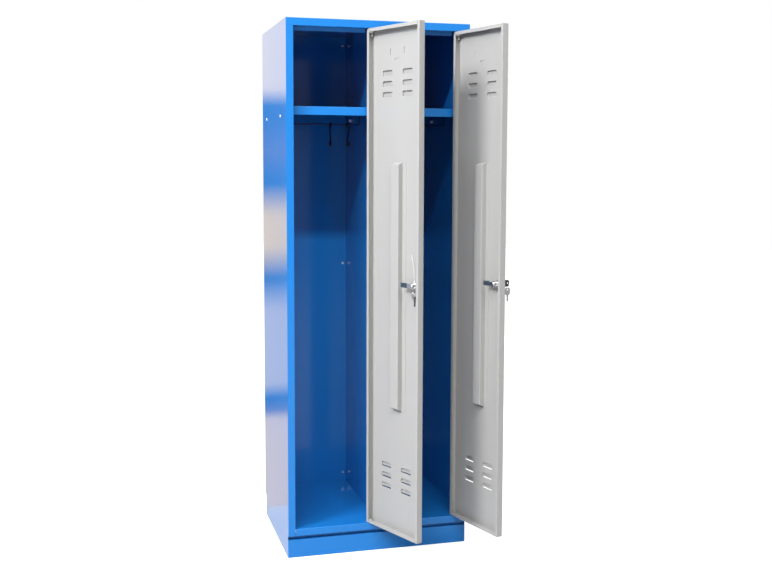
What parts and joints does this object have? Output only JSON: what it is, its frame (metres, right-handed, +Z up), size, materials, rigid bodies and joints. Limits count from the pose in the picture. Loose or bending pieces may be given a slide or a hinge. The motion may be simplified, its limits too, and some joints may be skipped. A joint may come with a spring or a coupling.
{
  "type": "school locker",
  "caption": "Tall steel school locker on a recessed plinth, with narrow louvred doors that stand open, hat shelves, coat rails with hooks, and cam locks with keys.",
  "frame": {"origin": "on the floor, at the middle of the four floor fixing holes and of the cabinet footprint", "axes": "+Z up, +X to the right as seen from the front, +Y to the back; the doors open towards -Y"},
  "size_m": [0.7059, 0.7504, 1.8],
  "materials": {
    "body_blue": "semi-gloss powder coat",
    "door_grey": "semi-gloss powder coat",
    "zinc_steel": "zinc plated",
    "lock_chrome": "bright nickel plate",
    "rail_dark": "smooth dark coat",
    "hook_black": "black coat",
    "sleeve_plastic": "moulded",
    "key_black": "moulded",
    "key_steel": "nickel plated",
    "nylon_white": "moulded nylon",
    "pad_blue": "moulded soft pad"
  },
  "bodies": {
    "cabinet": {"back_panel": "body_blue", "back_rivets": "zinc_steel", "bottom_pivot_pins": "zinc_steel", "centre_post": "body_blue", "divider_panel": "body_blue", "door_buffers": "pad_blue", "floor_panel": "body_blue", "left_coat_rail": "rail_dark", "left_door_stop": "body_blue", "left_shelf": "body_blue", "left_side_panel": "body_blue", "pivot_washers": "nylon_white", "plinth_front_board": "body_blue", "plinth_rear_board": "body_blue", "rail_push_nuts": "zinc_steel", "right_coat_rail": "rail_dark", "right_door_stop": "body_blue", "right_shelf": "body_blue", "right_side_panel": "body_blue", "roof_panel": "body_blue", "shelf_support_studs": "zinc_steel", "top_pivot_bushes": "nylon_white"},
    "left_door": {"left_door_panel": "door_grey", "left_door_stiffener": "door_grey", "left_bottom_pivot_bracket": "door_grey", "left_top_pivot_bracket": "door_grey", "left_bracket_rivets": "zinc_steel", "left_top_pivot_pin": "zinc_steel", "left_lock_barrel": "lock_chrome", "left_lock_nut": "zinc_steel", "left_key_tie": "nylon_white"},
    "left_lock": {"left_lock_plug": "lock_chrome", "left_lock_cam": "zinc_steel", "left_cam_sleeve": "sleeve_plastic", "left_cam_screw": "zinc_steel"},
    "right_door": {"right_door_panel": "door_grey", "right_door_stiffener": "door_grey", "right_bottom_pivot_bracket": "door_grey", "right_top_pivot_bracket": "door_grey", "right_bracket_rivets": "zinc_steel", "right_top_pivot_pin": "zinc_steel", "right_lock_barrel": "lock_chrome", "right_lock_nut": "zinc_steel"},
    "right_lock": {"right_lock_plug": "lock_chrome", "right_lock_cam": "zinc_steel", "right_cam_sleeve": "sleeve_plastic", "right_cam_screw": "zinc_steel", "right_lock_key": "key_black"},
    "left_spare_key": {"left_spare_key": "key_steel"},
    "right_key_ring": {"right_key_ring": "lock_chrome"},
    "right_hanging_key": {"right_hanging_key": "key_steel"},
    "left_coat_hook_1": {"left_coat_hook_1": "hook_black"},
    "left_coat_hook_2": {"left_coat_hook_2": "hook_black"},
    "right_coat_hook_1": {"right_coat_hook_1": "hook_black"},
    "right_coat_hook_2": {"right_coat_hook_2": "hook_black"}
  },
  "joints": [
    {"name": "left_door_hinge", "type": "hinge", "parent": "cabinet", "child": "left_door", "pos_m": [-0.0245, -0.243, 0.9], "axis": [0, 0, 1], "range_deg": [-112.5, 4.5]},
    {"name": "left_lock_turn", "type": "hinge", "parent": "left_door", "child": "left_lock", "pos_m": [0.07132, -0.45605, 0.94], "axis": [-0.9239, -0.3827, 0], "range_deg": [0, 180]},
    {"name": "right_door_hinge", "type": "hinge", "parent": "cabinet", "child": "right_door", "pos_m": [0.278, -0.243, 0.9], "axis": [0, 0, 1], "range_deg": [-106, 11]},
    {"name": "right_lock_turn", "type": "hinge", "parent": "right_door", "child": "right_lock", "pos_m": [0.34909, -0.46553, 0.94], "axis": [-0.9613, -0.2756, 0], "range_deg": [0, 180]},
    {"name": "left_spare_key_swing", "type": "hinge", "parent": "left_door", "child": "left_spare_key", "pos_m": [0.06024, -0.46064, 0.91045], "axis": [0.1305, 0.9914, 0], "range_deg": [-8, 12]},
    {"name": "right_key_ring_swing", "type": "hinge", "parent": "right_lock", "child": "right_key_ring", "pos_m": [0.37985, -0.45671, 0.94], "axis": [-0.2756, 0.9613, 0], "range_deg": [-60, 10]},
    {"name": "right_hanging_key_swing", "type": "hinge", "parent": "right_key_ring", "child": "right_hanging_key", "pos_m": [0.37985, -0.45671, 0.9194], "axis": [-0.2756, 0.9613, 0], "range_deg": [-30, 20]},
    {"name": "left_hook_1_swing", "type": "hinge", "parent": "cabinet", "child": "left_coat_hook_1", "pos_m": [-0.1143, 0, 1.467], "axis": [1, 0, 0], "range_deg": [-60, 60]},
    {"name": "left_hook_2_swing", "type": "hinge", "parent": "cabinet", "child": "left_coat_hook_2", "pos_m": [-0.0503, 0, 1.467], "axis": [1, 0, 0], "range_deg": [-60, 60]},
    {"name": "right_hook_1_swing", "type": "hinge", "parent": "cabinet", "child": "right_coat_hook_1", "pos_m": [0.13, 0, 1.467], "axis": [1, 0, 0], "range_deg": [-60, 60]},
    {"name": "right_hook_2_swing", "type": "hinge", "parent": "cabinet", "child": "right_coat_hook_2", "pos_m": [0.195, 0, 1.467], "axis": [1, 0, 0], "range_deg": [-60, 60]}
  ]
}
